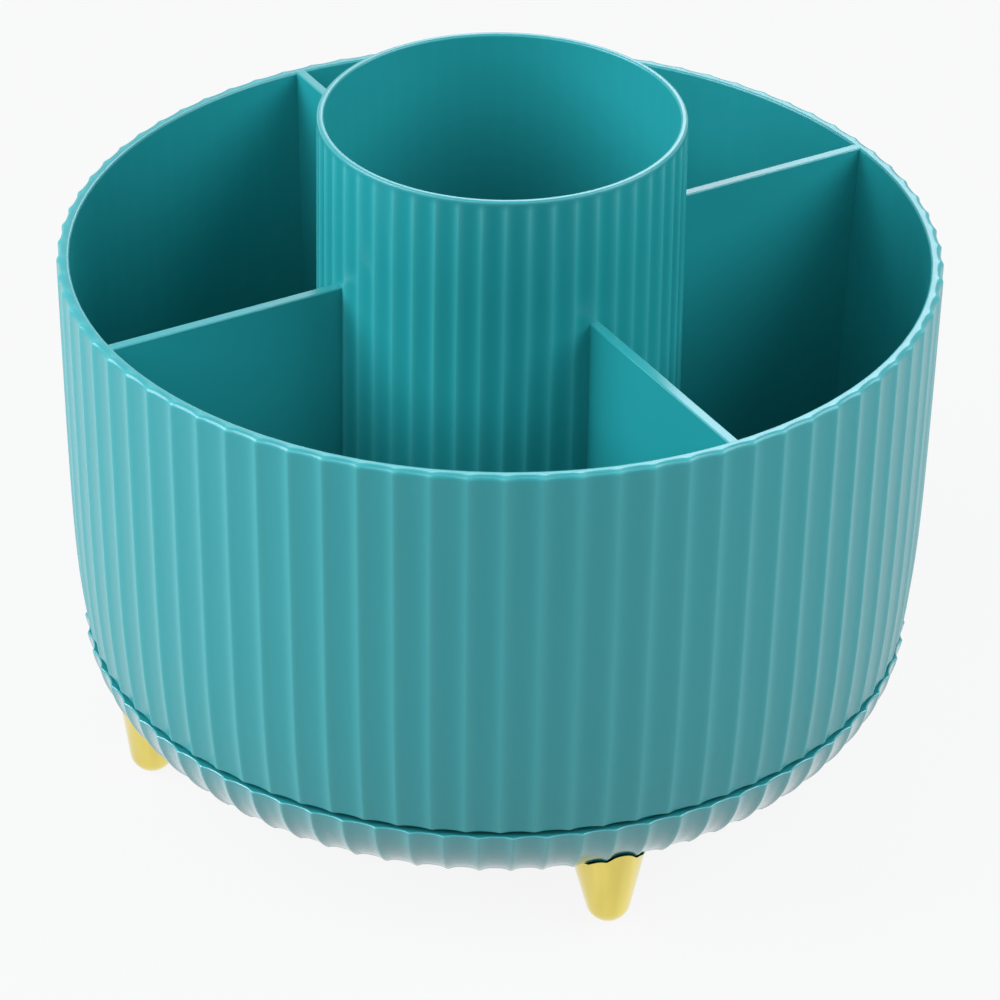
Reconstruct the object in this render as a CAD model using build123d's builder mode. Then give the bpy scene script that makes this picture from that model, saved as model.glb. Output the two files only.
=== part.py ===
"""Rotating brush holder: a fluted tray with a centre cup that turns on a footed base.

Millimetres, +Z up. The origin is on the turning axis, on the floor under the feet. The dividers lie
along X and Y, and the base stands turned under the tray as it was left when the tray was last spun.
"""
import os
from math import cos, radians, sin, tan

from build123d import *

os.makedirs("parts", exist_ok=True)

# Tray: outer bowl
tray_height = 78.95
rim_radius = 84.15
tray_wall = 2.05
tray_floor = 2.5
wall_draft = 0.7
wall_tuck = 2.05
wall_tuck_power = 6

# Flutes of the bowl, and of the base below it
flute_count = 80
flute_depth = 0.5
base_flute_depth = 0.7

# Tray: centre cup and dividers
cup_rise = 27.3
cup_radius = 34.75
cup_draft = 1.1
cup_wall = 1.1
cup_core_draft = 0.5
cup_flute_count = 50
cup_flute_depth = 0.35
cup_edge_round = 0.4
divider_count = 4
divider_thickness = 2.1
divider_round = 0.3

# Base dish
base_turn = -12.2
base_flute_shift = 0.4
base_step = 0.7
base_floor = 2.5
base_wall = 2.2
base_tuck = 6.75
base_curve_power = 1.29
seam_gap = 0.7
skirt_depth = 2.0
skirt_thickness = 1.8
skirt_gap = 0.6

# Feet
foot_count = 4
foot_height = 15.85
foot_tip_radius = 4.4
foot_tip_flat = 0.25
foot_tip_inset = 3.95
foot_taper = 14.0
foot_lean = 6.8
foot_crevice = 0.4
foot_overlap = 4.0

# Screws: shank radius, head radius, head height, and the cross in each head
foot_screw_radius = 1.5
foot_screw_head_radius = 2.8
foot_screw_head_height = 1.8
foot_screw_grip = 9.0
pivot_screw_radius = 1.5
pivot_screw_head_radius = 3.2
pivot_screw_head_height = 1.8
pivot_screw_grip = 8.0
cross_width = 0.7
cross_length = 3.0
cross_depth = 0.9
screw_clearance = 0.05
screw_end_room = 0.8

# Ball bearing between base and tray
ball_count = 12
ball_diameter = 6.0
ball_clearance = 0.05
race_width = 10.0
race_thickness = 2.0
race_clearance = 0.1
race_room = 10.5
groove_depth = 0.7
race_seat = 2.2
lip_height = 1.0
lip_thickness = 1.5
cage_rim = 1.4
cage_thickness = 2.4
pocket_clearance = 0.1

# Centre pivot
spigot_radius = 6.0
bush_wall = 2.0
bush_clearance = 0.06
bush_flange_width = 3.0
bush_flange_thickness = 1.5
hub_wall = 2.5
hub_gap = 2.0
recess_side_room = 2.0
washer_overlap = 3.0
washer_thickness = 1.0
axial_play = 0.2
head_setback = 0.4

# Heights of the bearing, from the base's floor up to the tray
base_floor_z = foot_height + base_floor
ball_radius = ball_diameter / 2
lower_race_top = base_floor_z + race_thickness
ball_center_z = lower_race_top - groove_depth + ball_radius + ball_clearance
upper_race_bottom = 2 * ball_center_z - lower_race_top
upper_race_top = upper_race_bottom + race_thickness
tray_z = upper_race_top + race_seat

# Heights of the shells
base_top_z = tray_z - seam_gap
tray_floor_z = tray_z + tray_floor
rim_z = tray_z + tray_height
cup_top_z = rim_z + cup_rise

# Heights of the pivot, from the recess under the base up
recess_top = (
    foot_height + head_setback + pivot_screw_head_height + washer_thickness + axial_play + bush_flange_thickness
)
flange_bottom = recess_top - bush_flange_thickness
spigot_end = flange_bottom - axial_play
washer_bottom = spigot_end - washer_thickness
hub_top = tray_z - hub_gap

# Radii of the shells and the feet, from the rim inwards
seam_radius = rim_radius - wall_draft - wall_tuck
base_rim_radius = seam_radius + base_step
underside_radius = base_rim_radius - base_tuck
foot_tip_center_z = foot_tip_radius - foot_tip_flat
foot_tip_circle = underside_radius - foot_tip_inset
foot_circle_radius = foot_tip_circle - (foot_height - foot_tip_center_z) * tan(radians(foot_lean))
inner_rim_radius = rim_radius - flute_depth - tray_wall
cup_bore = cup_radius - cup_flute_depth - cup_wall

# Radii of the bearing, inside the ring of foot screws
lip_outer = foot_circle_radius - foot_screw_head_radius - race_room
race_outer = lip_outer - lip_thickness - race_clearance
race_inner = race_outer - race_width
lip_inner = race_inner - race_clearance - lip_thickness
track_radius = (race_inner + race_outer) / 2
pocket_radius = ball_radius + pocket_clearance

# Radii of the pivot, from the spigot outwards
bush_inner = spigot_radius + bush_clearance
bush_outer = bush_inner + bush_wall
hub_radius = bush_outer + hub_wall
flange_radius = bush_outer + bush_flange_width
washer_radius = bush_inner + washer_overlap
recess_radius = max(flange_radius, washer_radius) + recess_side_room


def wall_radius(z):
    """Ridge radius of the bowl: a straight draft from the rim down, and a tuck that grows near the floor."""
    drop = (rim_z - z) / tray_height
    return rim_radius - wall_draft * drop - wall_tuck * drop**wall_tuck_power


def base_point(angle):
    """Ridge radius and height of the base's wall, a squared-off quarter oval from its top to its underside."""
    share_in = 1 - cos(radians(angle)) ** (2 / base_curve_power)
    share_down = sin(radians(angle)) ** (2 / base_curve_power)
    return base_rim_radius - base_tuck * share_in, base_top_z - (base_top_z - foot_height) * share_down


def base_radius(z):
    """Ridge radius of the base's wall at a height."""
    share_down = (base_top_z - z) / (base_top_z - foot_height)
    share_in = 1 - (1 - share_down**base_curve_power) ** (1 / base_curve_power)
    return base_rim_radius - base_tuck * share_in


def polar(radius, angle):
    """Point at a radius and an angle in degrees."""
    return radius * cos(radians(angle)), radius * sin(radians(angle))


def fluted_section(z, radius, depth, count, first_valley):
    """Level section bounded by hollow arcs, which meet in ridges on the radius and dip by the depth between."""
    pitch = 360 / count
    with BuildSketch(Plane.XY.offset(z)) as section:
        with BuildLine():
            for i in range(count):
                valley = first_valley + i * pitch
                ThreePointArc(
                    polar(radius, valley - pitch / 2),
                    polar(radius - depth, valley),
                    polar(radius, valley + pitch / 2),
                )
        make_face()
    return section.sketch


def base_section(z, radius):
    """Level section of the base's outside, with its flutes set a little off the line of the feet."""
    return fluted_section(z, radius, base_flute_depth, flute_count, base_turn + base_flute_shift)


def ring(inner, outer, bottom, top, mode=Mode.ADD):
    """Flat ring about the turning axis, added to the part in hand or cut from it."""
    with BuildSketch(Plane.XY.offset(bottom)) as section:
        Circle(outer)
        Circle(inner, mode=Mode.SUBTRACT)
    extrude(section.sketch, amount=top - bottom, mode=mode)


def disc(radius, bottom, top, mode=Mode.ADD):
    """Round plate about the turning axis, added to the part in hand or cut from it."""
    with BuildSketch(Plane.XY.offset(bottom)) as section:
        Circle(radius)
    extrude(section.sketch, amount=top - bottom, mode=mode)


def turned(points, mode=Mode.ADD):
    """Solid of revolution from radius and height points, added to the part in hand or cut from it."""
    with BuildSketch(Plane.XZ) as profile:
        with BuildLine():
            Polyline(*points, close=True)
        make_face()
    revolve(profile.sketch, axis=Axis.Z, mode=mode)


def screw(center, seat, head_side, shank_radius, head_radius, head_height, grip):
    """Pan-head screw on a vertical axis: its head lies on the seat and its shank runs the other way."""
    with BuildSketch(Plane.XY.offset(seat)) as head:
        with Locations(center):
            Circle(head_radius)
    extrude(head.sketch, amount=head_side * head_height)
    with BuildSketch(Plane.XY.offset(seat)) as shank:
        with Locations(center):
            Circle(shank_radius)
    extrude(shank.sketch, amount=-head_side * grip)
    with BuildSketch(Plane.XY.offset(seat + head_side * head_height)) as cross:
        with Locations(center):
            Rectangle(cross_length, cross_width)
            Rectangle(cross_width, cross_length)
    extrude(cross.sketch, amount=-head_side * cross_depth, mode=Mode.SUBTRACT)


def save(builder, name):
    """Label a finished piece and write its file."""
    builder.part.label = name
    export_step(builder.part, f"parts/{name}.step")


# Outside of the centre cup, fluted, from the tray's floor to the cup's edge
with BuildPart() as cup:
    cup_ends = ((tray_z, cup_radius + cup_draft), (cup_top_z, cup_radius))
    loft([fluted_section(z, radius, cup_flute_depth, cup_flute_count, 0) for z, radius in cup_ends], ruled=True)

# The four compartments: the hollow of the bowl less the cup and the dividers
inner_floor_radius = wall_radius(tray_floor_z) - flute_depth - tray_wall
with BuildPart() as compartments:
    turned([(0, tray_floor_z), (inner_floor_radius, tray_floor_z), (inner_rim_radius, rim_z), (0, rim_z)])
    add(cup.part, mode=Mode.SUBTRACT)
    for number in range(divider_count):
        outwards = polar(1, number * 360 / divider_count)
        across = polar(1, number * 360 / divider_count + 90)
        with BuildSketch(Plane((0, 0, tray_floor_z), x_dir=across, z_dir=outwards)) as divider:
            Rectangle(divider_thickness, rim_z - tray_floor_z, align=(Align.CENTER, Align.MIN))
            fillet(divider.vertices().group_by(Axis.Y)[-1], divider_round)
        extrude(amount=rim_radius, mode=Mode.SUBTRACT)

# Tray
wall_stations = (0, 0.07, 0.17, 0.33, 0.6, 1)
skirt_bottom = tray_z - skirt_depth
base_inner_floor_radius = base_radius(base_floor_z) - base_flute_depth - base_wall
base_inner_top_radius = base_rim_radius - base_flute_depth - base_wall
base_inner_slope = (base_inner_top_radius - base_inner_floor_radius) / (base_top_z - base_floor_z)
skirt_radius = base_inner_floor_radius + base_inner_slope * (skirt_bottom - base_floor_z) - skirt_gap
with BuildPart() as tray:
    wall_levels = [tray_z + share * tray_height for share in wall_stations]
    loft([fluted_section(z, wall_radius(z), flute_depth, flute_count, 0) for z in wall_levels])
    add(compartments.part, mode=Mode.SUBTRACT)
    add(cup.part)
    turned(
        [(0, tray_floor_z), (cup_bore - cup_core_draft, tray_floor_z), (cup_bore, cup_top_z), (0, cup_top_z)],
        mode=Mode.SUBTRACT,
    )
    ring(skirt_radius - skirt_thickness, skirt_radius, skirt_bottom, tray_z)
    ring(lip_inner, lip_outer, upper_race_top, tray_z)
    ring(lip_inner, race_inner - race_clearance, upper_race_top - lip_height, upper_race_top)
    ring(race_outer + race_clearance, lip_outer, upper_race_top - lip_height, upper_race_top)
    disc(spigot_radius, spigot_end, tray_z)
    pilot_top = washer_bottom + pivot_screw_grip + screw_end_room
    disc(pivot_screw_radius + screw_clearance, spigot_end, pilot_top, mode=Mode.SUBTRACT)
    cup_edges = tray.edges().filter_by_position(Axis.Z, cup_top_z, cup_top_z)
    fillet(cup_edges.sort_by(SortBy.LENGTH)[-1], cup_edge_round)
save(tray, "tray")

# Base dish
base_stations = (90, 75, 60, 45, 30, 15, 0)
with BuildPart() as base:
    base_points = [base_point(angle) for angle in base_stations]
    loft([base_section(z, radius) for radius, z in base_points])
    turned(
        [
            (hub_radius, base_floor_z),
            (base_inner_floor_radius, base_floor_z),
            (base_inner_top_radius, base_top_z),
            (0, base_top_z),
            (0, hub_top),
            (hub_radius, hub_top),
        ],
        mode=Mode.SUBTRACT,
    )
    disc(recess_radius + hub_wall, base_floor_z, recess_top + base_floor)
    disc(recess_radius, foot_height, recess_top, mode=Mode.SUBTRACT)
    disc(bush_outer, recess_top, hub_top, mode=Mode.SUBTRACT)
    ring(lip_inner, race_inner - race_clearance, base_floor_z, base_floor_z + lip_height)
    ring(race_outer + race_clearance, lip_outer, base_floor_z, base_floor_z + lip_height)
    with BuildSketch(Plane.XY.offset(foot_height)):
        with PolarLocations(foot_circle_radius, foot_count, start_angle=base_turn):
            Circle(foot_screw_radius + screw_clearance)
    extrude(amount=base_floor, mode=Mode.SUBTRACT)
save(base, "base")

# What the tops of the feet are cut to: the base's outside, with a crevice left along its curved wall
with BuildPart() as foot_seat:
    loft([base_section(z, radius + foot_crevice) for radius, z in base_points])

# Feet: cones with a round tip, turned on axes that lean in towards the turning axis, and flat where they stand
taper_cos, taper_sin = cos(radians(foot_taper)), sin(radians(foot_taper))
lean_cos, lean_sin = cos(radians(foot_lean)), sin(radians(foot_lean))
foot_length = (foot_height + foot_overlap - foot_tip_center_z) / lean_cos
for number in range(foot_count):
    foot_angle = base_turn + number * 360 / foot_count
    out_x, out_y = polar(1, foot_angle)
    tip_center = (*polar(foot_tip_circle, foot_angle), foot_tip_center_z)
    foot_plane = Plane(tip_center, x_dir=(lean_cos * out_x, lean_cos * out_y, lean_sin), z_dir=(out_y, -out_x, 0))
    with BuildPart() as foot:
        with BuildSketch(foot_plane):
            with BuildLine():
                tangent = (foot_tip_radius * taper_cos, -foot_tip_radius * taper_sin)
                shoulder = (tangent[0] + (foot_length - tangent[1]) * taper_sin / taper_cos, foot_length)
                CenterArc((0, 0), foot_tip_radius, -90, 90 - foot_taper)
                Polyline(tangent, shoulder, (0, foot_length), (0, -foot_tip_radius))
            make_face()
        revolve(axis=Axis(tip_center, (-lean_sin * out_x, -lean_sin * out_y, lean_cos)))
        split(bisect_by=Plane.XY)
        add(foot_seat.part, mode=Mode.SUBTRACT)
        hole_depth = foot_screw_grip - base_floor + screw_end_room
        with BuildSketch(Plane.XY.offset(foot_height)):
            with Locations(polar(foot_circle_radius, foot_angle)):
                Circle(foot_screw_radius + screw_clearance)
        extrude(amount=-hole_depth, mode=Mode.SUBTRACT)
    save(foot, f"foot_{number + 1}")

with BuildPart() as foot_screws:
    for number in range(foot_count):
        screw(
            polar(foot_circle_radius, base_turn + number * 360 / foot_count),
            base_floor_z,
            1,
            foot_screw_radius,
            foot_screw_head_radius,
            foot_screw_head_height,
            foot_screw_grip,
        )
save(foot_screws, "foot_screws")

# Ball bearing
for name, bottom in (("lower_race", base_floor_z), ("upper_race", upper_race_bottom)):
    with BuildPart() as race:
        with BuildSketch(Plane.XZ):
            with Locations((track_radius, bottom + race_thickness / 2)):
                Rectangle(race_width, race_thickness)
            with Locations((track_radius, ball_center_z)):
                Circle(ball_radius + ball_clearance, mode=Mode.SUBTRACT)
        revolve(axis=Axis.Z)
    save(race, name)

with BuildPart() as ball_cage:
    ring(
        track_radius - pocket_radius - cage_rim,
        track_radius + pocket_radius + cage_rim,
        ball_center_z - cage_thickness / 2,
        ball_center_z + cage_thickness / 2,
    )
    with BuildSketch(Plane.XY.offset(ball_center_z - cage_thickness / 2)):
        with PolarLocations(track_radius, ball_count):
            Circle(pocket_radius)
    extrude(amount=cage_thickness, mode=Mode.SUBTRACT)
save(ball_cage, "ball_cage")

for number in range(ball_count):
    with BuildPart() as ball:
        with Locations((*polar(track_radius, number * 360 / ball_count), ball_center_z)):
            Sphere(ball_radius)
    save(ball, f"ball_{number + 1:02d}")

# Centre pivot
with BuildPart() as pivot_bush:
    ring(bush_inner, bush_outer, recess_top, hub_top)
    ring(bush_inner, flange_radius, flange_bottom, recess_top)
save(pivot_bush, "pivot_bush")

with BuildPart() as pivot_washer:
    ring(pivot_screw_radius + screw_clearance, washer_radius, washer_bottom, spigot_end)
save(pivot_washer, "pivot_washer")

with BuildPart() as pivot_screw:
    screw(
        (0, 0),
        washer_bottom,
        -1,
        pivot_screw_radius,
        pivot_screw_head_radius,
        pivot_screw_head_height,
        pivot_screw_grip,
    )
save(pivot_screw, "pivot_screw")
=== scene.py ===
import math

import bpy
import numpy as np
from mathutils import Matrix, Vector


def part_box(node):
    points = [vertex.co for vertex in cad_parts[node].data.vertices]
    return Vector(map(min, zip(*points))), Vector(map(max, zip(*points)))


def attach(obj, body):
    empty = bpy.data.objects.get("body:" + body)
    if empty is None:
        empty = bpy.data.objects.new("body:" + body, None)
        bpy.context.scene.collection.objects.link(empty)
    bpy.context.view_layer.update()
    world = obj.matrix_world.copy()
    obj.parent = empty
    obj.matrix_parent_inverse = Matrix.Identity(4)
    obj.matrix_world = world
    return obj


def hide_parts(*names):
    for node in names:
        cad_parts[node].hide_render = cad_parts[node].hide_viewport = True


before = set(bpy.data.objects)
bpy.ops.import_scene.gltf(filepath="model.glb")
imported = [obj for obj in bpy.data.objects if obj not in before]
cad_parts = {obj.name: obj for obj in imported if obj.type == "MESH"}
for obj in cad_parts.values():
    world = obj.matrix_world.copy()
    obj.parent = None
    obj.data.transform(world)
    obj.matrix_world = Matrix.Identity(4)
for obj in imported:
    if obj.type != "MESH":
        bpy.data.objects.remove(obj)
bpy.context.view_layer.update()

millimetre = 0.001


def node_box(node):
    """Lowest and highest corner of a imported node, in millimetres."""
    return [np.array(corner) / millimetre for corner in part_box(node)]


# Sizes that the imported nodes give
tray_low, tray_high = node_box("tray")
base_low, base_high = node_box("base")
race_high = node_box("upper_race")[1]
bush_low, bush_high = node_box("pivot_bush")

# Flutes of the bowl, the base and the cup
flute_count = 80
flute_depth = 0.5
base_flute_depth = 0.7
flute_ridge = 0.06
flute_power = 2.7
cup_flute_count = 50
cup_flute_depth = 0.35
cup_flute_ridge = 0.06
# Share of the flutes on the inside walls, which also scales their painted ridge highlight
inside_ripple = 0.06

# Tray: bowl, cup and dividers
cup_rise = 27.3
seam_gap = 0.7
tray_wall = 2.05
tray_floor = 2.5
wall_draft = 0.7
wall_tuck = 2.05
wall_tuck_power = 6
rim_outer_round = 0.9
rim_inner_round = 0.5
tray_edge_round = 0.35
floor_round = 1.0
cup_radius = 34.75
cup_draft = 1.1
cup_wall = 1.1
cup_core_draft = 0.5
cup_rim_inset = 0.15
cup_rim_round = 0.45
cup_band = 0.9
cup_band_fade = 1.0
divider_count = 4
divider_thickness = 2.1
divider_round = 0.3
divider_cup_end = 33.9
divider_rim_lap = 0.4
floor_bite = 1.0

# Tray: skirt, race seat and spigot under the floor
skirt_depth = 2.0
skirt_thickness = 1.8
skirt_gap = 0.6
lip_height = 1.0
lip_thickness = 1.5
race_clearance = 0.1
race_width = 10.0
spigot_radius = 6.0
pilot_radius = 1.55
pilot_depth = 7.8

# Base dish
base_turn = math.radians(-12.2)
base_flute_shift = math.radians(0.4)
base_step = 0.7
base_floor = 2.5
base_wall = 2.2
base_tuck = 6.75
base_wall_bend = math.radians(40)
base_edge_round = 0.3
base_inner_round = 0.3
base_top_fall = 0.55
base_flute_fade = 4.0
hub_wall = 2.5
bush_outer = 8.06
bush_flange_thickness = 1.5
recess_radius = 13.06

# Feet
foot_count = 4
foot_tip_radius = 4.4
foot_tip_flat = 0.25
foot_tip_inset = 3.95
foot_taper = math.radians(14)
foot_lean = math.radians(6.8)
foot_crevice = 0.45

# Rows and steps of the meshes
ridge_steps = 4
bowl_flute_steps = 6
cup_flute_steps = 5
ring_steps = 180
spigot_steps = 64
bowl_rows = 17
bowl_row_power = 1.6
base_wall_rows = 19
foot_columns = 96
foot_tip_rows = 12
foot_cone_rows = 14
foot_top_rows = 9
foot_halvings = 40

# Heights and radii that follow
foot_height = base_low[2]
base_top_z = base_high[2]
base_floor_z = foot_height + base_floor
tray_z = base_top_z + seam_gap
tray_floor_z = tray_z + tray_floor
cup_top_z = tray_high[2]
rim_z = cup_top_z - cup_rise
tray_height = rim_z - tray_z
rim_radius = tray_high[0] / math.cos(math.pi / flute_count)
inner_rim_radius = rim_radius - flute_depth - tray_wall
seam_radius = rim_radius - wall_draft - wall_tuck
base_rim_radius = seam_radius + base_step
underside_radius = base_rim_radius - base_tuck
foot_tip_circle = underside_radius - foot_tip_inset
foot_tip_z = foot_tip_radius - foot_tip_flat
cup_bore = cup_radius - cup_flute_depth - cup_wall
cup_foot_z = tray_floor_z - floor_bite
hub_top = bush_high[2]
recess_top = bush_low[2] + bush_flange_thickness
hub_radius = bush_outer + hub_wall
race_outer = race_high[0]
race_inner = race_outer - race_width


def wall_radius(z):
    """Ridge radius of the bowl at a height: a straight draft from the rim down and a tuck that grows with a power."""
    drop = (rim_z - np.asarray(z, float)) / tray_height
    return rim_radius - wall_draft * drop - wall_tuck * drop**wall_tuck_power


inner_floor_radius = float(wall_radius(tray_floor_z)) - flute_depth - tray_wall


def cup_wall_radius(z):
    """Ridge radius of the cup at a height: a straight draft from its top down."""
    return cup_radius + cup_draft * (cup_top_z - z) / (cup_top_z - tray_z)


base_wall_chord = math.hypot(base_tuck, base_top_z - foot_height)
base_wall_tilt = math.atan2(base_tuck, base_top_z - foot_height)
base_top_tilt = base_wall_tilt - base_wall_bend / 2
base_arc = base_wall_chord / (2 * math.sin(base_wall_bend / 2))
base_arc_radius = base_rim_radius - base_arc * math.cos(base_top_tilt)
base_arc_z = base_top_z + base_arc * math.sin(base_top_tilt)


def base_wall_radius(z):
    """Ridge radius of the base's wall at a height, on an arc that leans in from its top to its underside."""
    return base_arc_radius + np.sqrt(base_arc**2 - (base_arc_z - z) ** 2)


def flute_dip(place, ridge):
    """Share of the flute depth at a place between two ridges, from 0 to 1.

    With u the distance to the nearer ridge, the dip is 1 - (1 - 2u)^power, 1 in the valley's middle. Nearer to the
    ridge than its share, a parabola of the same slope rounds the ridge off.
    """
    u = np.minimum(place, 1 - place)
    valley = 1 - (1 - 2 * u) ** flute_power
    start = 1 - (1 - 2 * ridge) ** flute_power
    slope = 2 * flute_power * (1 - 2 * ridge) ** (flute_power - 1)
    return np.where(u < ridge, start + slope * (u**2 - ridge**2) / (2 * ridge), valley)


def fluted_turn(count, ridge, steps, first_valley=0.0):
    """Angles round the axis, closer together at the ridges, and the share of the flute depth at each."""
    half = np.concatenate([np.linspace(0, ridge, ridge_steps), np.linspace(ridge, 0.5, steps)[1:]])
    place = np.concatenate([half, 1 - half[-2:0:-1]])
    dip = flute_dip(place, ridge)
    pitch = 2 * math.pi / count
    angle = first_valley - pitch / 2 + pitch * (np.arange(count)[:, None] + place[None, :])
    return angle.ravel(), np.tile(dip, count)


def plain_turn(steps):
    """Even angles round the axis, with no dip."""
    return np.arange(steps) * 2 * math.pi / steps, np.zeros(steps)


def rounded_profile(corners, loop, arc_steps=5, hold=0.25):
    """Profile through corners (radius, height, rounding, flute share), with each rounded corner turned by an arc.

    The arc leaves and joins the straight runs at rounding / tan(half the corner's angle) from the corner, and is
    swept about its centre on the bisector. A held row a little beyond each end keeps the run's shading straight.
    """
    points = np.array([c[:2] for c in corners], float)
    rows = []
    for i, (radius, height, rounding, share) in enumerate(corners):
        inner_corner = loop or 0 < i < len(corners) - 1
        if rounding == 0 or not inner_corner:
            rows.append(np.array([[radius, height, share]]))
            continue
        here = points[i]
        back = points[i - 1] - here
        ahead = points[(i + 1) % len(points)] - here
        back = back / np.linalg.norm(back)
        ahead = ahead / np.linalg.norm(ahead)
        half_angle = math.acos(np.clip(back @ ahead, -1, 1)) / 2
        reach = rounding / math.tan(half_angle)
        bisector = (back + ahead) / np.linalg.norm(back + ahead)
        centre = here + bisector * rounding / math.sin(half_angle)
        spread = np.linspace(-1, 1, arc_steps + 1) * (math.pi / 2 - half_angle)
        across = ahead - (ahead @ bisector) * bisector
        across = across / np.linalg.norm(across)
        arc = centre - rounding * np.cos(spread)[:, None] * bisector + rounding * np.sin(spread)[:, None] * across
        held = hold * rounding
        ends = [here + back * (reach + held)], [here + ahead * (reach + held)]
        arc = np.concatenate([ends[0], arc, ends[1]])
        rows.append(np.column_stack([arc, np.full(len(arc), share)]))
    return np.concatenate(rows)


def grid_faces(rows, columns, loop):
    """Quads between neighbouring rows and columns. The columns close round, and so do the rows of a loop."""
    row = np.arange(rows if loop else rows - 1)[:, None] * columns
    ahead = (row + columns) % (rows * columns)
    column = np.arange(columns)[None, :]
    beside = (column + 1) % columns
    return np.stack([row + column, row + beside, ahead + beside, ahead + column], axis=-1).reshape(-1, 4)


def close_poles(grid, poles):
    """Points and blocks of faces of a closed grid: quads between its rows, and a fan from each pole to its end."""
    rows, columns = grid.shape[:2]
    points = np.concatenate([grid.reshape(-1, 3), poles])
    column = np.arange(columns)
    beside = (column + 1) % columns
    last = (rows - 1) * columns
    first_fan = np.column_stack([np.full(columns, rows * columns), beside, column])
    last_fan = np.column_stack([last + column, last + beside, np.full(columns, rows * columns + 1)])
    return points, [grid_faces(rows, columns, False), first_fan, last_fan]


def turned_skin(profile, turn, depth=0.0, dip_ways=None):
    """Closed skin of profile rows carried round the axis, as points, blocks of faces and each point's painted
    highlight.

    At each angle a row's radius falls, and its height rises, by depth times the angle's dip times the row's two dip
    ways. A profile that starts and ends on the axis is closed by two poles, and any other closes on itself. The
    painted highlight, a paler colour painted on the flute ridges to stand in for the light they catch, is the row's
    flute share times what the dip leaves of 1, and nothing where there are no flutes.
    """
    angle, dip = turn
    radius, height, share = profile.T
    inward, upward = (share, np.zeros_like(share)) if dip_ways is None else dip_ways
    r = radius[:, None] - depth * inward[:, None] * dip[None, :]
    z = height[:, None] + depth * upward[:, None] * dip[None, :]
    points = np.stack([r * np.cos(angle), r * np.sin(angle), z], axis=-1)
    # Painted highlight: paler towards each flute's ridge, in place of the light caught there
    painted_highlight = share[:, None] * (1 - dip)[None, :] * (depth > 0)
    if radius[0] > 0:
        return points.reshape(-1, 3), [grid_faces(len(radius), len(angle), True)], painted_highlight.ravel()
    poles = np.array([[0, 0, height[0]], [0, 0, height[-1]]])
    return *close_poles(points[1:-1], poles), np.concatenate([painted_highlight[1:-1].ravel(), np.zeros(2)])


def divider_skin(angle):
    """Closed slab along a radius: a round-topped section carried outwards.

    Its inner end stands upright in the cup's wall. Its outer end leans with the bowl's inside, a lap within the wall.
    """
    half = divider_thickness / 2
    section = rounded_profile(
        [
            (-half, tray_floor_z - floor_bite, 0, 0),
            (half, tray_floor_z - floor_bite, 0, 0),
            (half, rim_z, divider_round, 0),
            (-half, rim_z, divider_round, 0),
        ],
        True,
    )
    across, height = section[:, 0], section[:, 1]
    rise = (height - tray_floor_z) / (rim_z - tray_floor_z)
    outer_end = inner_floor_radius + (inner_rim_radius - inner_floor_radius) * rise + divider_rim_lap
    outwards = np.stack([np.full_like(height, divider_cup_end), outer_end])
    x = outwards * math.cos(angle) - across * math.sin(angle)
    y = outwards * math.sin(angle) + across * math.cos(angle)
    points = np.stack([x, y, np.broadcast_to(height, x.shape)], axis=-1).reshape(-1, 3)
    columns = len(across)
    ends = np.stack([np.arange(columns)[::-1], columns + np.arange(columns)])
    return points, [grid_faces(2, columns, False), ends], np.zeros(len(points))


def seat_height(x, y):
    """Height of the base's outside over a point of the floor, pushed out by the crevice round the feet.

    The ridge radius there is the point's radius less the crevice plus the flute's dip, and the arc of the wall gives
    its height. Inside the underside's edge it is the flat underside.
    """
    place = (np.arctan2(y, x) - base_turn - base_flute_shift) * flute_count / (2 * math.pi) + 0.5
    ridge = np.hypot(x, y) - foot_crevice + base_flute_depth * flute_dip(place % 1, flute_ridge)
    ridge = np.clip(ridge, underside_radius, base_rim_radius)
    return base_arc_z - np.sqrt(base_arc**2 - (ridge - base_arc_radius) ** 2)


def foot_skin(angle):
    """Closed cone with a round tip, on an axis that leans in, ground flat on the floor and cut to the base above.

    A point is the tip's centre plus a reach along the turned radius and a rise along the axis. On the tip both lie
    on a circle, and on the cone they go up its side until the seat's height is met, found by halving. The top goes
    in from there to the axis at the seat's height.
    """
    out = np.array([math.cos(angle), math.sin(angle), 0])
    beside = np.array([-math.sin(angle), math.cos(angle), 0])
    axis = np.array([0, 0, math.cos(foot_lean)]) - out * math.sin(foot_lean)
    across = out * math.cos(foot_lean) + np.array([0, 0, math.sin(foot_lean)])
    centre = out * foot_tip_circle + np.array([0, 0, foot_tip_z])
    turn = np.arange(foot_columns) * 2 * math.pi / foot_columns
    spoke = np.cos(turn)[:, None] * across + np.sin(turn)[:, None] * beside

    def side(way):
        """Points of the cone at a way up its side from the tip, one for each spoke."""
        reach = foot_tip_radius * math.cos(foot_taper) + way * math.sin(foot_taper)
        rise = way * math.cos(foot_taper) - foot_tip_radius * math.sin(foot_taper)
        return centre + reach[..., None] * spoke + rise[..., None] * axis

    low, high = np.zeros(foot_columns), np.full(foot_columns, 2 * foot_height)
    for _ in range(foot_halvings):
        middle = (low + high) / 2
        x, y, z = side(middle).T
        inside = z > seat_height(x, y)
        low, high = np.where(inside, low, middle), np.where(inside, middle, high)
    bend = np.linspace(-math.pi / 2, -foot_taper, foot_tip_rows)[1:, None]
    tip = centre + foot_tip_radius * (np.cos(bend)[..., None] * spoke + np.sin(bend)[..., None] * axis)
    cone = side(np.linspace(0, 1, foot_cone_rows)[1:, None] * low)
    share = np.linspace(0, 1, foot_top_rows)[1:-1, None, None]
    top = cone[-1] + (out * foot_tip_circle - cone[-1]) * share
    top[..., 2] = seat_height(top[..., 0], top[..., 1])
    grid = np.concatenate([tip, cone, top])
    grid[..., 2] = np.maximum(grid[..., 2], 0)
    poles = np.array([[centre[0], centre[1], 0], [centre[0], centre[1], foot_height]])
    points, blocks = close_poles(grid, poles)
    return points, blocks, np.zeros(len(points))


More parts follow.
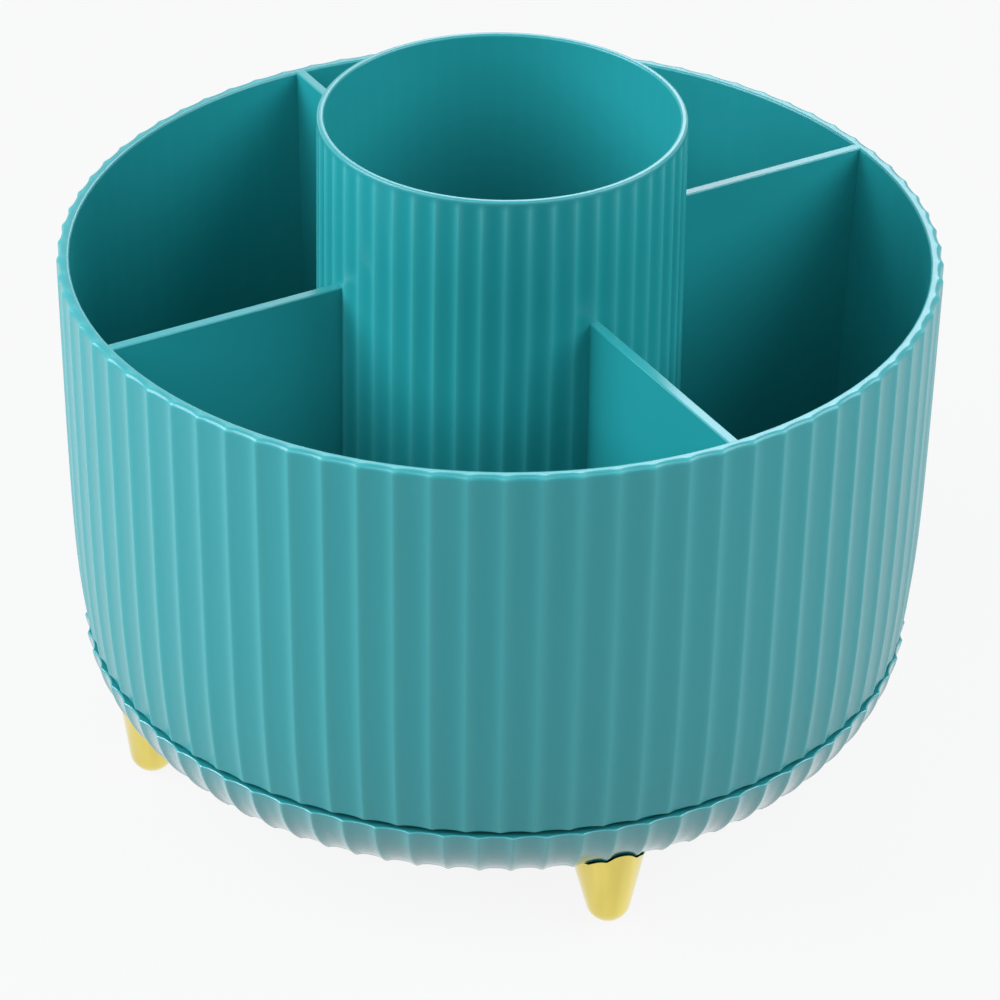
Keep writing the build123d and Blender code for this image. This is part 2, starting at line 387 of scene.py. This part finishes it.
def make_piece(name, skins, material, body, node, sharp_angle=math.radians(40)):
    """Joins closed skins into one smooth-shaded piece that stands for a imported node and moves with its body."""
    faces, start = [], 0
    for skin_points, blocks, _ in skins:
        for block in blocks:
            faces += (start + block).tolist()
        start += len(skin_points)
    points = np.concatenate([skin[0] for skin in skins]) * millimetre
    mesh = bpy.data.meshes.new(name)
    mesh.from_pydata(points.tolist(), [], faces)
    # The painted ridge highlight goes on the mesh as a point attribute for the shader
    painted_highlight = mesh.attributes.new("painted_highlight", "FLOAT", "POINT")
    painted_highlight.data.foreach_set("value", np.concatenate([skin[2] for skin in skins]).astype(np.float32))
    mesh.shade_smooth()
    mesh.set_sharp_from_angle(angle=sharp_angle)
    mesh.materials.append(material)
    mesh.validate()
    piece = bpy.data.objects.new(name, mesh)
    bpy.context.scene.collection.objects.link(piece)
    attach(piece, body)
    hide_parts(node)
    return piece


# Values that all skins share, and the places of a colour mix's sockets
mottle_detail = 2
grain_detail = 3
skin_ior = 1.5
coat_roughness = 0.15
mix_share, mix_first, mix_second, mix_result = 0, 6, 7, 2


def skin_group():
    """Shader group for a moulded or plated skin.

    A slow noise, which can be drawn out along an axis into streaks, mixes two colours, which go over to a third by
    the mesh's painted highlight, a paler colour painted on the flute ridges in place of the light they catch. A fine
    noise moves the roughness between two values. The height for a bump is the fine noise plus a share of the slow
    one, which gives the long soft waves of a moulded wall.
    """
    group = bpy.data.node_groups.new("moulded_skin", "ShaderNodeTree")
    for label, kind in (
        ("Colour", "NodeSocketColor"),
        ("Second Colour", "NodeSocketColor"),
        ("Painted Highlight Colour", "NodeSocketColor"),
        ("Mottle Scale", "NodeSocketFloat"),
        ("Mottle Stretch", "NodeSocketVector"),
        ("Grain Scale", "NodeSocketFloat"),
        ("Roughness Low", "NodeSocketFloat"),
        ("Roughness High", "NodeSocketFloat"),
        ("Wave Share", "NodeSocketFloat"),
    ):
        group.interface.new_socket(label, in_out="INPUT", socket_type=kind)
    for label, kind in (("Colour", "NodeSocketColor"), ("Roughness", "NodeSocketFloat"), ("Height", "NodeSocketFloat")):
        group.interface.new_socket(label, in_out="OUTPUT", socket_type=kind)
    nodes, links = group.nodes, group.links
    given = nodes.new("NodeGroupInput")
    result = nodes.new("NodeGroupOutput")
    place = nodes.new("ShaderNodeTexCoord")
    mottle = nodes.new("ShaderNodeTexNoise")
    mottle.inputs["Detail"].default_value = mottle_detail
    grain = nodes.new("ShaderNodeTexNoise")
    grain.inputs["Detail"].default_value = grain_detail
    mix = nodes.new("ShaderNodeMix")
    mix.data_type = "RGBA"
    # Painted highlight on the flute ridges: the mesh attribute mixes in the paler colour
    painted_highlight = nodes.new("ShaderNodeAttribute")
    painted_highlight.attribute_name = "painted_highlight"
    painted_highlight_mix = nodes.new("ShaderNodeMix")
    painted_highlight_mix.data_type = "RGBA"
    rough = nodes.new("ShaderNodeMapRange")
    height = nodes.new("ShaderNodeMath")
    height.operation = "MULTIPLY_ADD"
    stretch = nodes.new("ShaderNodeVectorMath")
    stretch.operation = "MULTIPLY"
    links.new(place.outputs["Object"], stretch.inputs[0])
    links.new(given.outputs["Mottle Stretch"], stretch.inputs[1])
    links.new(stretch.outputs["Vector"], mottle.inputs["Vector"])
    links.new(given.outputs["Mottle Scale"], mottle.inputs["Scale"])
    links.new(place.outputs["Object"], grain.inputs["Vector"])
    links.new(given.outputs["Grain Scale"], grain.inputs["Scale"])
    links.new(mottle.outputs["Fac"], mix.inputs[mix_share])
    links.new(given.outputs["Colour"], mix.inputs[mix_first])
    links.new(given.outputs["Second Colour"], mix.inputs[mix_second])
    links.new(grain.outputs["Fac"], rough.inputs["Value"])
    links.new(given.outputs["Roughness Low"], rough.inputs["To Min"])
    links.new(given.outputs["Roughness High"], rough.inputs["To Max"])
    links.new(mottle.outputs["Fac"], height.inputs[0])
    links.new(given.outputs["Wave Share"], height.inputs[1])
    links.new(grain.outputs["Fac"], height.inputs[2])
    links.new(painted_highlight.outputs["Fac"], painted_highlight_mix.inputs[mix_share])
    links.new(mix.outputs[mix_result], painted_highlight_mix.inputs[mix_first])
    links.new(given.outputs["Painted Highlight Colour"], painted_highlight_mix.inputs[mix_second])
    links.new(painted_highlight_mix.outputs[mix_result], result.inputs["Colour"])
    links.new(rough.outputs["Result"], result.inputs["Roughness"])
    links.new(height.outputs["Value"], result.inputs["Height"])
    return group


moulded_skin = skin_group()


def skin_material(
    name, colours, mottle, grain, roughness, wave, bump, bump_depth, metallic=0.0, coat=0.0, stretch=(1, 1, 1)
):
    """Material of one moulded, plated or ground skin, from the shared group with its own values.

    The last of its two or three colours is the painted highlight colour for flute ridges. Scales are per metre, and the
    bump's depth in millimetres.
    """
    material = bpy.data.materials.new(name)
    material.use_nodes = True
    nodes, links = material.node_tree.nodes, material.node_tree.links
    shader = nodes["Principled BSDF"]
    shader.inputs["Metallic"].default_value = metallic
    shader.inputs["IOR"].default_value = skin_ior
    shader.inputs["Coat Weight"].default_value = coat
    shader.inputs["Coat Roughness"].default_value = coat_roughness
    skin = nodes.new("ShaderNodeGroup")
    skin.node_tree = moulded_skin
    skin.inputs["Colour"].default_value = (*colours[0], 1)
    skin.inputs["Second Colour"].default_value = (*colours[1], 1)
    # The last colour is the painted ridge highlight
    skin.inputs["Painted Highlight Colour"].default_value = (*colours[-1], 1)
    skin.inputs["Mottle Scale"].default_value = mottle
    skin.inputs["Mottle Stretch"].default_value = stretch
    skin.inputs["Grain Scale"].default_value = grain
    skin.inputs["Roughness Low"].default_value = roughness[0]
    skin.inputs["Roughness High"].default_value = roughness[1]
    skin.inputs["Wave Share"].default_value = wave
    relief = nodes.new("ShaderNodeBump")
    relief.inputs["Strength"].default_value = bump
    relief.inputs["Distance"].default_value = bump_depth * millimetre
    links.new(skin.outputs["Colour"], shader.inputs["Base Color"])
    links.new(skin.outputs["Roughness"], shader.inputs["Roughness"])
    links.new(skin.outputs["Height"], relief.inputs["Height"])
    links.new(relief.outputs["Normal"], shader.inputs["Normal"])
    return material


# Teal moulding: two tones that differ at random, and a paler third colour that is a painted highlight on the flute
# ridges
teal_and_highlight_colours = (0.017, 0.305, 0.309), (0.018, 0.314, 0.318), (0.042, 0.380, 0.378)
teal_finish = dict(mottle=45, grain=1500, roughness=(0.25, 0.28), wave=3.0, bump=0.05, bump_depth=0.01)
teal = skin_material("teal_moulding", teal_and_highlight_colours, **teal_finish)
base_teal = skin_material("base_moulding", teal_and_highlight_colours, **teal_finish, coat=0.85)
gold = skin_material(
    "gold_plating",
    ((0.54, 0.42, 0.05), (0.99, 0.83, 0.18)),
    mottle=200,
    grain=900,
    roughness=(0.08, 0.12),
    wave=0.0,
    bump=0.1,
    bump_depth=0.02,
    metallic=1.0,
    coat=1.0,
    stretch=(1, 1, 0.1),
)
steel = skin_material(
    "screw_steel",
    ((0.52, 0.52, 0.53), (0.62, 0.62, 0.63)),
    mottle=500,
    grain=4000,
    roughness=(0.22, 0.38),
    wave=0.5,
    bump=0.2,
    bump_depth=0.02,
    metallic=1.0,
)
race_steel = skin_material(
    "race_steel",
    ((0.46, 0.47, 0.48), (0.56, 0.57, 0.58)),
    mottle=120,
    grain=2500,
    roughness=(0.2, 0.32),
    wave=0.5,
    bump=0.2,
    bump_depth=0.02,
    metallic=1.0,
)
ball_steel = skin_material(
    "ball_steel",
    ((0.66, 0.67, 0.68), (0.72, 0.73, 0.74)),
    mottle=300,
    grain=2000,
    roughness=(0.05, 0.1),
    wave=0.5,
    bump=0.05,
    bump_depth=0.01,
    metallic=1.0,
)
cage_plastic = skin_material(
    "cage_plastic",
    ((0.62, 0.60, 0.55), (0.70, 0.68, 0.62)),
    mottle=90,
    grain=2600,
    roughness=(0.4, 0.5),
    wave=1.0,
    bump=0.2,
    bump_depth=0.02,
)
bush_plastic = skin_material(
    "bush_plastic",
    ((0.70, 0.70, 0.66), (0.78, 0.78, 0.74)),
    mottle=150,
    grain=2600,
    roughness=(0.35, 0.48),
    wave=1.0,
    bump=0.2,
    bump_depth=0.02,
)

# Tray
bowl_shares = np.linspace(0, 1, bowl_rows)[1:-1] ** bowl_row_power
bowl_heights = tray_z + tray_edge_round + (tray_height - tray_edge_round - rim_outer_round) * bowl_shares
bowl = rounded_profile(
    [
        (0, tray_z, 0, 0),
        (float(wall_radius(tray_z)), tray_z, tray_edge_round, 1),
        *[(float(r), z, 0, 1) for r, z in zip(wall_radius(bowl_heights), bowl_heights)],
        (rim_radius, rim_z, rim_outer_round, 1),
        (inner_rim_radius, rim_z, rim_inner_round, inside_ripple),
        (inner_floor_radius, tray_floor_z, floor_round, inside_ripple),
        (inner_floor_radius - 2 * floor_round, tray_floor_z, 0, 0),
        (0, tray_floor_z, 0, 0),
    ],
    False,
)
cup_band_z = cup_top_z - cup_band
cup = rounded_profile(
    [
        (cup_wall_radius(cup_foot_z), cup_foot_z, 0, 1),
        (cup_wall_radius(cup_band_z - cup_band_fade), cup_band_z - cup_band_fade, 0, 1),
        (cup_radius - cup_rim_inset, cup_band_z, 0, 0),
        (cup_radius - cup_rim_inset, cup_top_z, cup_rim_round, 0),
        (cup_bore, cup_top_z, cup_rim_round, inside_ripple),
        (cup_bore - cup_core_draft, cup_foot_z, 0, inside_ripple),
    ],
    True,
)
base_inner_floor_radius = base_wall_radius(base_floor_z) - base_flute_depth - base_wall
base_inner_top_radius = base_rim_radius - base_flute_depth - base_wall
skirt_bottom = tray_z - skirt_depth
skirt_share = (skirt_bottom - base_floor_z) / (base_top_z - base_floor_z)
skirt_radius = base_inner_floor_radius + (base_inner_top_radius - base_inner_floor_radius) * skirt_share - skirt_gap
skirt = rounded_profile(
    [
        (skirt_radius - skirt_thickness, skirt_bottom, 0, 0),
        (skirt_radius, skirt_bottom, 0, 0),
        (skirt_radius, tray_z + floor_bite, 0, 0),
        (skirt_radius - skirt_thickness, tray_z + floor_bite, 0, 0),
    ],
    True,
)
lip_inner = race_inner - race_clearance - lip_thickness
lip_outer = race_outer + race_clearance + lip_thickness
seat_z = race_high[2]
race_seat = rounded_profile(
    [
        (lip_inner, seat_z - lip_height, 0, 0),
        (lip_inner + lip_thickness, seat_z - lip_height, 0, 0),
        (lip_inner + lip_thickness, seat_z, 0, 0),
        (lip_outer - lip_thickness, seat_z, 0, 0),
        (lip_outer - lip_thickness, seat_z - lip_height, 0, 0),
        (lip_outer, seat_z - lip_height, 0, 0),
        (lip_outer, tray_z + floor_bite, 0, 0),
        (lip_inner, tray_z + floor_bite, 0, 0),
    ],
    True,
)
spigot_end = tray_low[2]
spigot = rounded_profile(
    [
        (0, spigot_end + pilot_depth, 0, 0),
        (pilot_radius, spigot_end + pilot_depth, 0, 0),
        (pilot_radius, spigot_end, 0, 0),
        (spigot_radius, spigot_end, 0, 0),
        (spigot_radius, tray_z + floor_bite, 0, 0),
        (0, tray_z + floor_bite, 0, 0),
    ],
    False,
)
bowl_turn = fluted_turn(flute_count, flute_ridge, bowl_flute_steps)
cup_turn = fluted_turn(cup_flute_count, cup_flute_ridge, cup_flute_steps)
tray_skins = [turned_skin(bowl, bowl_turn, flute_depth), turned_skin(cup, cup_turn, cup_flute_depth)]
tray_skins += [divider_skin(2 * math.pi * number / divider_count) for number in range(divider_count)]
tray_skins += [turned_skin(profile, plain_turn(ring_steps)) for profile in (skirt, race_seat)]
tray_skins += [turned_skin(spigot, plain_turn(spigot_steps))]
make_piece("fluted_tray", tray_skins, teal, "turntable", "tray")

# Base dish: on its wall the flutes dip along the wall's own normal, and fade out under the edge
wall_heights = np.linspace(foot_height, base_top_z - 2 * base_edge_round, base_wall_rows)[1:-1]
dish = rounded_profile(
    [
        (recess_radius, foot_height, 0, 0),
        (underside_radius - base_flute_fade - floor_round, foot_height, 0, 0),
        (underside_radius - base_flute_fade, foot_height, 0, 0),
        (underside_radius - base_flute_fade / 2, foot_height, 0, 0.5),
        (underside_radius, foot_height, 0, 1),
        *[(r, z, 0, 1) for r, z in zip(base_wall_radius(wall_heights), wall_heights)],
        (base_rim_radius, base_top_z, base_edge_round, 1),
        (base_inner_top_radius, base_top_z - base_top_fall, base_inner_round, 0),
        (base_inner_floor_radius, base_floor_z, floor_round, 0),
        (recess_radius + hub_wall, base_floor_z, 0, 0),
        (recess_radius + hub_wall, recess_top + base_floor, 0, 0),
        (hub_radius, recess_top + base_floor, 0, 0),
        (hub_radius, hub_top, 0, 0),
        (bush_outer, hub_top, 0, 0),
        (bush_outer, recess_top, 0, 0),
        (recess_radius, recess_top, 0, 0),
    ],
    True,
)
run = np.roll(dish[:, :2], -1, axis=0) - np.roll(dish[:, :2], 1, axis=0)
run = run / np.linalg.norm(run, axis=1, keepdims=True)
on_edge = dish[:, 1] > base_top_z - 2 * base_edge_round
dip_inward = dish[:, 2] * np.where(on_edge, 1, run[:, 1])
dip_upward = dish[:, 2] * np.where(on_edge, 0, run[:, 0])
base_lips = [
    rounded_profile(
        [
            (inner, base_floor_z - floor_bite, 0, 0),
            (inner + lip_thickness, base_floor_z - floor_bite, 0, 0),
            (inner + lip_thickness, base_floor_z + lip_height, 0, 0),
            (inner, base_floor_z + lip_height, 0, 0),
        ],
        True,
    )
    for inner in (lip_inner, lip_outer - lip_thickness)
]
base_turning = fluted_turn(flute_count, flute_ridge, bowl_flute_steps, base_turn + base_flute_shift)
base_skins = [turned_skin(dish, base_turning, base_flute_depth, (dip_inward, dip_upward))]
base_skins += [turned_skin(profile, plain_turn(ring_steps)) for profile in base_lips]
make_piece("fluted_base", base_skins, base_teal, "base_unit", "base")

# Feet
for number in range(foot_count):
    foot_angle = base_turn + 2 * math.pi * number / foot_count
    make_piece(f"plated_foot_{number + 1}", [foot_skin(foot_angle)], gold, "base_unit", f"foot_{number + 1}")

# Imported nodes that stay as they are
finishes = {
    "foot_screws": steel,
    "pivot_screw": steel,
    "pivot_washer": steel,
    "lower_race": race_steel,
    "upper_race": race_steel,
    "ball_cage": cage_plastic,
    "pivot_bush": bush_plastic,
}
for name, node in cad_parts.items():
    finish = ball_steel if name.startswith("ball_") and name != "ball_cage" else finishes.get(name)
    if finish:
        for holder in node.material_slots:
            holder.material = finish

# Camera: the view turns about the axis, looks down, and leans a little
view_azimuth = math.radians(-30.44)
view_elevation = math.radians(32.6306)
view_roll = math.radians(0.8985)
camera_place = (-0.34480, -0.58809, 0.48648)
camera_sensor = 36
camera_lens = 147.43
camera_clip = 0.01
right = np.array([math.cos(view_azimuth), math.sin(view_azimuth), 0])
level = np.array([-math.sin(view_azimuth), math.cos(view_azimuth), 0])
up = level * math.sin(view_elevation) + np.array([0, 0, math.cos(view_elevation)])
ahead = level * math.cos(view_elevation) - np.array([0, 0, math.sin(view_elevation)])
leaning_right = right * math.cos(view_roll) + up * math.sin(view_roll)
leaning_up = up * math.cos(view_roll) - right * math.sin(view_roll)
lens = bpy.data.cameras.new("camera")
lens.sensor_width = camera_sensor
lens.lens = camera_lens
lens.clip_start = camera_clip
camera = bpy.data.objects.new("camera", lens)
placement = np.eye(4)
placement[:3] = np.column_stack([leaning_right, leaning_up, -ahead, camera_place])
camera.matrix_world = Matrix(placement.tolist())
bpy.context.scene.collection.objects.link(camera)
bpy.context.scene.camera = camera

# Lamps: degrees beside the camera, degrees up, metres away, metres wide and brightness
daylight = (0.94, 0.97, 1.09)
lamps = (
    ("left_softbox", -82, 34, 0.8, 0.55, 7.7),
    ("right_softbox", 82, 38, 0.7, 0.5, 4.6),
    ("front_left_softbox", -35, 34, 0.9, 0.5, 2.7),
    ("front_right_softbox", 35, 34, 0.9, 0.5, 1.7),
    ("front_top_softbox", 0, 58, 0.9, 0.12, 8.0),
    ("back_softbox", 172, 37, 0.9, 0.34, 5.5),
)


def softbox(name, side, elevation, distance, size, radiance):
    """Square lamp that looks at the tray's middle, from an angle beside the camera's and a height above the floor."""
    lamp = bpy.data.lights.new(name, "AREA")
    lamp.shape = "SQUARE"
    lamp.size = size
    lamp.energy = radiance * math.pi * size**2
    lamp.color = daylight
    turn = view_azimuth + math.radians(side)
    rise = math.radians(elevation)
    away = np.array([math.sin(turn) * math.cos(rise), -math.cos(turn) * math.cos(rise), math.sin(rise)])
    middle = np.array([0, 0, rim_z / 2 * millimetre])
    sideways = np.array([math.cos(turn), math.sin(turn), 0])
    lamp_object = bpy.data.objects.new(name, lamp)
    place = np.eye(4)
    place[:3] = np.column_stack([sideways, np.cross(away, sideways), away, middle + distance * away])
    lamp_object.matrix_world = Matrix(place.tolist())
    bpy.context.scene.collection.objects.link(lamp_object)


for lamp in lamps:
    softbox(*lamp)


def seen_directly(nodes, links):
    """Mask of camera, mirror and see-through rays."""
    path = nodes.new("ShaderNodeLightPath")
    first = nodes.new("ShaderNodeMath")
    first.operation = "MAXIMUM"
    second = nodes.new("ShaderNodeMath")
    second.operation = "MAXIMUM"
    links.new(path.outputs["Is Camera Ray"], first.inputs[0])
    links.new(path.outputs["Is Glossy Ray"], first.inputs[1])
    links.new(first.outputs["Value"], second.inputs[0])
    links.new(path.outputs["Is Transmission Ray"], second.inputs[1])
    return second.outputs["Value"]


# Surroundings: white where they are seen, and a soft even light elsewhere
ambient = 0.05
world = bpy.data.worlds.new("white_room")
world.use_nodes = True
bpy.context.scene.world = world
room_nodes, room_links = world.node_tree.nodes, world.node_tree.links
room_light = room_nodes["Background"]
room_light.inputs["Color"].default_value = (1, 1, 1, 1)
room_light.inputs["Strength"].default_value = ambient
room_seen = room_nodes.new("ShaderNodeBackground")
room_seen.inputs["Color"].default_value = (1, 1, 1, 1)
room_mix = room_nodes.new("ShaderNodeMixShader")
room_links.new(seen_directly(room_nodes, room_links), room_mix.inputs["Fac"])
room_links.new(room_light.outputs["Background"], room_mix.inputs[1])
room_links.new(room_seen.outputs["Background"], room_mix.inputs[2])
room_links.new(room_mix.outputs["Shader"], room_nodes["World Output"].inputs["Surface"])

# Floor: pale, lifted to white where it is seen with the shadow left in it, and clear to a camera under it
floor_half = 3.0
floor_lift = 0.9
floor_shade = 0.4
floor_corners = [(-1, -1), (1, -1), (1, 1), (-1, 1)]
floor_mesh = bpy.data.meshes.new("pale_floor")
floor_mesh.from_pydata([(floor_half * x, floor_half * y, 0) for x, y in floor_corners], [], [(0, 1, 2, 3)])
floor = bpy.data.objects.new("pale_floor", floor_mesh)
bpy.context.scene.collection.objects.link(floor)
floor_paint = bpy.data.materials.new("pale_floor")
floor_paint.use_nodes = True
floor_nodes, floor_links = floor_paint.node_tree.nodes, floor_paint.node_tree.links
floor_shader = floor_nodes["Principled BSDF"]
floor_shader.inputs["Base Color"].default_value = (floor_shade, floor_shade, floor_shade, 1)
floor_shader.inputs["Roughness"].default_value = 1.0
floor_shader.inputs["Specular IOR Level"].default_value = 0.0
floor_glow = floor_nodes.new("ShaderNodeEmission")
floor_share = floor_nodes.new("ShaderNodeMath")
floor_share.operation = "MULTIPLY"
floor_share.inputs[1].default_value = floor_lift
floor_mix = floor_nodes.new("ShaderNodeMixShader")
floor_links.new(seen_directly(floor_nodes, floor_links), floor_share.inputs[0])
floor_links.new(floor_share.outputs["Value"], floor_mix.inputs["Fac"])
floor_links.new(floor_shader.outputs["BSDF"], floor_mix.inputs[1])
floor_links.new(floor_glow.outputs["Emission"], floor_mix.inputs[2])
floor_side = floor_nodes.new("ShaderNodeNewGeometry")
floor_from_below = floor_nodes.new("ShaderNodeMath")
floor_from_below.operation = "MULTIPLY"
floor_path = floor_nodes.new("ShaderNodeLightPath")
floor_clear = floor_nodes.new("ShaderNodeBsdfTransparent")
floor_sides = floor_nodes.new("ShaderNodeMixShader")
floor_links.new(floor_side.outputs["Backfacing"], floor_from_below.inputs[0])
floor_links.new(floor_path.outputs["Is Camera Ray"], floor_from_below.inputs[1])
floor_links.new(floor_from_below.outputs["Value"], floor_sides.inputs["Fac"])
floor_links.new(floor_mix.outputs["Shader"], floor_sides.inputs[1])
floor_links.new(floor_clear.outputs["BSDF"], floor_sides.inputs[2])
floor_links.new(floor_sides.outputs["Shader"], floor_nodes["Material Output"].inputs["Surface"])
floor_mesh.materials.append(floor_paint)

bpy.context.scene.view_settings.view_transform = "Standard"

bpy.context.view_layer.update()
